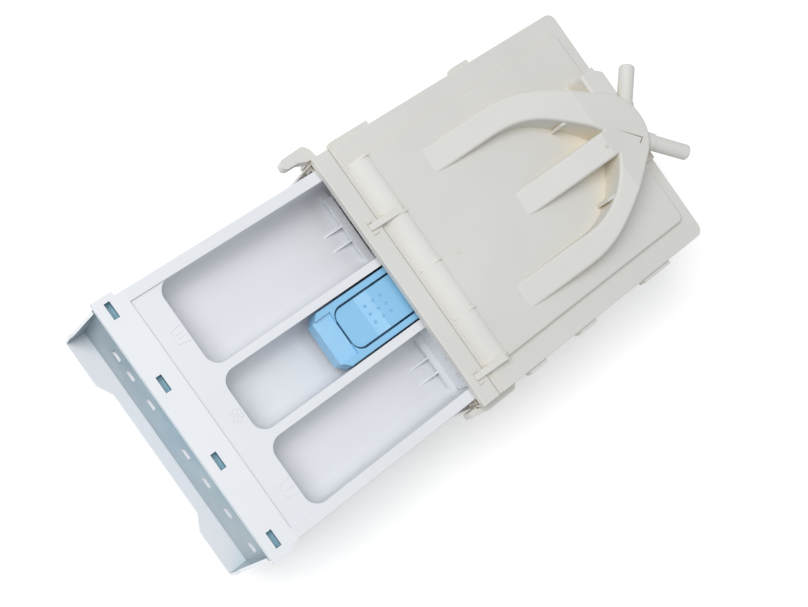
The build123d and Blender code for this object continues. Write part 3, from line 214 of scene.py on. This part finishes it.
def paint_front_shade(mat, node):
    """Paint a teal shade on the face below the front plate and on the cheeks' inner sides, standing for
    shade lit by reflected blue light.
    """
    bottom, top = low(node), high(node)
    nodes, links = mat.node_tree.nodes, mat.node_tree.links
    base_color = nodes["Principled BSDF"].inputs["Base Color"]
    surface = base_color.links[0].from_socket
    coords = nodes.new("ShaderNodeTexCoord")
    place = nodes.new("ShaderNodeSeparateXYZ")
    facing = nodes.new("ShaderNodeSeparateXYZ")
    links.new(coords.outputs["Object"], place.inputs["Vector"])
    links.new(coords.outputs["Normal"], facing.inputs["Vector"])
    # painted shade strongest under the plate, weaker towards the lip
    height = map_range(nodes, links, place.outputs["Z"], (bottom.z, top.z - SHADE_CLEAR), (SHADE_LOWEST, 1.0))
    # on the forward face, which lies behind the lip
    forward = compare(nodes, links, "LESS_THAN", facing.outputs["Y"], FORWARD_LIMIT)
    behind = compare(nodes, links, "GREATER_THAN", place.outputs["Y"], top.y - FACE_DEPTH)
    face = combine(nodes, links, "MULTIPLY", forward, behind)
    # and on the inner sides of the end cheeks, which face the middle
    inwards = combine(nodes, links, "MULTIPLY", place.outputs["X"], facing.outputs["X"])
    cheeks = compare(nodes, links, "LESS_THAN", inwards, CHEEK_LIMIT)
    tinted = combine(nodes, links, "MAXIMUM", face, cheeks)
    patches = noise(nodes, links, coords, scale=16.0, detail=2.0)
    uneven = map_range(nodes, links, patches, PATCH_BAND, PATCH_SHARE)
    share = combine(nodes, links, "MULTIPLY", height, tinted)
    share = combine(nodes, links, "MULTIPLY", share, uneven)
    # bluer in the middle, greyer towards both ends
    along = map_range(nodes, links, place.outputs["X"], (bottom.x, top.x))
    shade = color_ramp(nodes, links, along, tuple(zip(SHADE_PAINT_STOPS, (LEFT_SHADE_PAINT, MIDDLE_SHADE_PAINT, RIGHT_SHADE_PAINT))))
    painted_shading = nodes.new("ShaderNodeMix")
    painted_shading.data_type = "RGBA"
    links.new(shade, painted_shading.inputs["B"])
    links.new(share, painted_shading.inputs["Factor"])
    links.new(surface, painted_shading.inputs["A"])
    links.new(painted_shading.outputs["Result"], base_color)


paint_front_shade(FRONT_WHITE, "drawer_front_frame")
# painted teal shade for the pockets under the plate's slots, standing for the shaded, blue-lit space below
SLOT_SHADE_PAINT = plastic("slot_painted_shade", (0.42, 0.62, 0.70), (0.30, 0.50, 0.60), 0.40, mottle=0.04,
                       grain=0.10, shading_reach=0.006)
MATERIALS = {
    "drawer_white": DRAWER_WHITE,
    "housing_cream": HOUSING_CREAM,
    "insert_blue": INSERT_BLUE,
    "seal_rubber": SEAL_RUBBER,
}
slot_of = {part["node"]: part["material_slot"] for part in frame["record"]["subparts"]}
for node, obj in frame["nodes"].items():
    obj.data.materials.clear()
    obj.data.materials.append(FRONT_WHITE if node == "drawer_front_frame" else MATERIALS[slot_of[node]])


# ---- pieces added to the CAD nodes ----------------------------------------
def add_piece(name, mesh, material):
    """Turn a finished bmesh into an object of the scene."""
    bmesh.ops.recalc_face_normals(mesh, faces=mesh.faces)
    data = bpy.data.meshes.new(name)
    mesh.to_mesh(data)
    mesh.free()
    data.materials.append(material)
    piece = bpy.data.objects.new(name, data)
    bpy.context.scene.collection.objects.link(piece)
    return piece


# ---- wash symbols raised on the drawer's panel ----------------------------
PANEL_DROP = 1.5 * MM          # from the drawer's top to its panel
PANEL_Z = high("drawer_tray").z - PANEL_DROP
PANEL_FRONT_Y = low("drawer_tray").y
MARK_Y = PANEL_FRONT_Y + 23.0 * MM
MARK_SINK = 0.02 * MM          # the beads' flat side lies this far inside the panel
MARK_RISE = 0.28 * MM
MARK_STROKE = 0.45 * MM        # half a bead's width
BEAD_SIDES = 6

TUB_HALF = 4.6 * MM            # half the tub's width at its bottom
TUB_FLARE = 1.4 * MM
TUB_HEIGHT = 9.0 * MM
BAR_GAP = 2.8 * MM
BAR_FOOT = 2.0 * MM            # above the tub's bottom
BAR_HEAD = 0.6 * MM            # below the tub's top

PETALS = 6
PETAL_STEPS = 12
FLOWER_EYE = 0.9 * MM
FLOWER_REACH = 4.6 * MM
PETAL_HALF = 1.25 * MM

MAIN_WASH_X = -52.0 * MM
SOFTENER_X = 9.5 * MM
PREWASH_X = 66.0 * MM


def bead(mesh, points, closed=False):
    """Add a half-round bead along points that lie on the panel."""
    count = len(points)
    rows = []
    for i, point in enumerate(points):
        before = points[i - 1] if closed or i > 0 else point
        after = points[(i + 1) % count] if closed or i < count - 1 else point
        heading = (after - before).normalized()
        across = Vector((-heading.y, heading.x, 0.0))
        row = []
        for k in range(BEAD_SIDES + 1):
            turn = math.pi * k / BEAD_SIDES
            offset = across * math.cos(turn) * MARK_STROKE
            row.append(mesh.verts.new(point + offset + Vector((0, 0, math.sin(turn) * MARK_RISE))))
        rows.append(row)
    last = count if closed else count - 1
    for i in range(last):
        here, there = rows[i], rows[(i + 1) % count]
        for k in range(BEAD_SIDES):
            mesh.faces.new((here[k], here[k + 1], there[k + 1], there[k]))
        mesh.faces.new((here[BEAD_SIDES], here[0], there[0], there[BEAD_SIDES]))
    if not closed:
        mesh.faces.new(list(reversed(rows[0])))
        mesh.faces.new(rows[-1])


def mark(name, strokes, loops=()):
    """One raised symbol made of open and closed beads, riding on the drawer."""
    mesh = bmesh.new()
    for points in strokes:
        bead(mesh, [Vector((x, y, PANEL_Z - MARK_SINK)) for x, y in points])
    for points in loops:
        bead(mesh, [Vector((x, y, PANEL_Z - MARK_SINK)) for x, y in points], closed=True)
    piece = add_piece(name, mesh, DRAWER_WHITE)
    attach(piece, "drawer")


def tub_strokes(x, bars):
    """A wash tub's outline with upright bars in it."""
    bottom = MARK_Y - TUB_HEIGHT / 2
    strokes = [[(x - TUB_HALF - TUB_FLARE, bottom + TUB_HEIGHT), (x - TUB_HALF, bottom),
                (x + TUB_HALF, bottom), (x + TUB_HALF + TUB_FLARE, bottom + TUB_HEIGHT)]]
    for i in range(bars):
        bar_x = x + (i - (bars - 1) / 2) * BAR_GAP
        strokes.append([(bar_x, bottom + BAR_FOOT), (bar_x, bottom + TUB_HEIGHT - BAR_HEAD)])
    return strokes


def flower_loops(x):
    """Petals round a small eye."""
    loops = []
    for petal in range(PETALS):
        turn = 2 * math.pi * petal / PETALS
        loop = []
        for k in range(PETAL_STEPS):
            angle = 2 * math.pi * k / PETAL_STEPS
            along = (FLOWER_EYE + FLOWER_REACH) / 2 + (FLOWER_REACH - FLOWER_EYE) / 2 * math.cos(angle)
            aside = PETAL_HALF * math.sin(angle)
            loop.append((x + along * math.cos(turn) - aside * math.sin(turn),
                         MARK_Y + along * math.sin(turn) + aside * math.cos(turn)))
        loops.append(loop)
    return loops


mark("mark_main_wash", tub_strokes(MAIN_WASH_X, bars=2))
mark("mark_prewash", tub_strokes(PREWASH_X, bars=1))
mark("mark_softener", [], flower_loops(SOFTENER_X))

# ---- shallow pockets under the front plate's slots ------------------------
PLATE_FRONT = low("drawer_front_frame").y + 12.2 * MM
SLOT_X = (-87.5 * MM, -32.4 * MM, 26.0 * MM, 85.0 * MM)
POCKET_HALF = 6.6 * MM
POCKET_WALL = 0.6 * MM
POCKET_Y = (5.9 * MM, 12.1 * MM)     # behind the plate's front edge
POCKET_TOP = 2.55 * MM               # this and the next two are below the plate's top
POCKET_FLOOR = 6.05 * MM
POCKET_BOTTOM = 6.4 * MM


def pocket(name, x):
    """An open-topped tray that closes one slot below the plate."""
    rim = high("drawer_front_frame").z
    outer = ((x - POCKET_HALF, PLATE_FRONT + POCKET_Y[0]), (x + POCKET_HALF, PLATE_FRONT + POCKET_Y[1]))
    inner = ((outer[0][0] + POCKET_WALL, outer[0][1] + POCKET_WALL),
             (outer[1][0] - POCKET_WALL, outer[1][1] - POCKET_WALL))
    mesh = bmesh.new()
    rings = []
    for (lo, hi), z in ((outer, rim - POCKET_BOTTOM), (outer, rim - POCKET_TOP),
                        (inner, rim - POCKET_TOP), (inner, rim - POCKET_FLOOR)):
        rings.append([mesh.verts.new((px, py, z)) for px, py in
                      ((lo[0], lo[1]), (hi[0], lo[1]), (hi[0], hi[1]), (lo[0], hi[1]))])
    for below, above in zip(rings, rings[1:]):
        for k in range(4):
            mesh.faces.new((below[k], below[(k + 1) % 4], above[(k + 1) % 4], above[k]))
    mesh.faces.new(list(reversed(rings[0])))
    mesh.faces.new(rings[-1])
    # the pocket carries the painted teal shade, so the slot looks shaded
    piece = add_piece(name, mesh, SLOT_SHADE_PAINT)
    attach(piece, "drawer")


for number, slot_x in enumerate(SLOT_X, start=1):
    pocket("slot_pocket_" + str(number), slot_x)

# ---- floor and world ------------------------------------------------------
FLOOR_REACH = 6.0              # metres from the middle to each edge
FLOOR_DROP = 0.5 * MM
FLOOR_WHITE = (0.97, 0.97, 0.97, 1.0)
FLOOR_ROUGHNESS = 0.9
FLOOR_GLOW = 0.16              # keeps the pale floor as white as the photo's background
WORLD_COLOR = (0.97, 0.985, 1.0, 1.0)
WORLD_STRENGTH = 0.54

bpy.context.scene.view_settings.view_transform = "Standard"

floor_mesh = bpy.data.meshes.new("floor")
floor_mesh.from_pydata([(-FLOOR_REACH, -FLOOR_REACH, 0), (FLOOR_REACH, -FLOOR_REACH, 0),
                        (FLOOR_REACH, FLOOR_REACH, 0), (-FLOOR_REACH, FLOOR_REACH, 0)], [], [(0, 1, 2, 3)])
floor = bpy.data.objects.new("floor", floor_mesh)
floor.location.z = CAD_BOX[0][2] - FLOOR_DROP
bpy.context.scene.collection.objects.link(floor)
floor_mat = bpy.data.materials.new("floor_pale")
floor_mat.use_nodes = True
floor_shader = floor_mat.node_tree.nodes["Principled BSDF"]
floor_shader.inputs["Base Color"].default_value = FLOOR_WHITE
floor_shader.inputs["Roughness"].default_value = FLOOR_ROUGHNESS
floor_shader.inputs["Emission Color"].default_value = (1.0, 1.0, 1.0, 1.0)
floor_shader.inputs["Emission Strength"].default_value = FLOOR_GLOW
floor_mesh.materials.append(floor_mat)

world = bpy.data.worlds.new("studio")
world.use_nodes = True
world.node_tree.nodes["Background"].inputs["Color"].default_value = WORLD_COLOR
world.node_tree.nodes["Background"].inputs["Strength"].default_value = WORLD_STRENGTH
bpy.context.scene.world = world


# ---- lights and camera ----------------------------------------------------
def area_light(name, location, target, size, power, color):
    """A soft rectangular light aimed at target."""
    data = bpy.data.lights.new(name, "AREA")
    data.shape = "RECTANGLE"
    data.size = size[0]
    data.size_y = size[1]
    data.energy = power
    data.color = color
    light = bpy.data.objects.new(name, data)
    light.location = location
    light.rotation_euler = (Vector(target) - Vector(location)).to_track_quat("-Z", "Y").to_euler()
    bpy.context.scene.collection.objects.link(light)


area_light("key", location=(-0.85, -1.35, 2.35), target=(0.0, -0.1, 0.1), size=(1.8, 1.8), power=54.0,
           color=(1.0, 0.99, 0.97))
area_light("strip", location=(0.0, 0.05, 1.6), target=(0.0, 0.049, 0.1), size=(0.5, 0.16), power=1.1,
           color=(1.0, 1.0, 1.0))

CAMERA_AT = Vector((0.0, -0.508, 0.8194))
CAMERA_TARGET = Vector((0.0136, -0.1603, 0.105))
CAMERA_ROLL = 56.9             # degrees, the picture is turned about the view axis
LENS = 52.1                    # millimetres, as is the sensor's width
SENSOR_WIDTH = 36.0

camera_data = bpy.data.cameras.new("camera")
camera_data.lens = LENS
camera_data.sensor_width = SENSOR_WIDTH
camera = bpy.data.objects.new("camera", camera_data)
aim = (CAMERA_TARGET - CAMERA_AT).to_track_quat("-Z", "Y").to_matrix().to_4x4()
roll = Matrix.Rotation(math.radians(CAMERA_ROLL), 4, "Z")
camera.matrix_world = Matrix.Translation(CAMERA_AT) @ aim @ roll
bpy.context.scene.collection.objects.link(camera)
bpy.context.scene.camera = camera
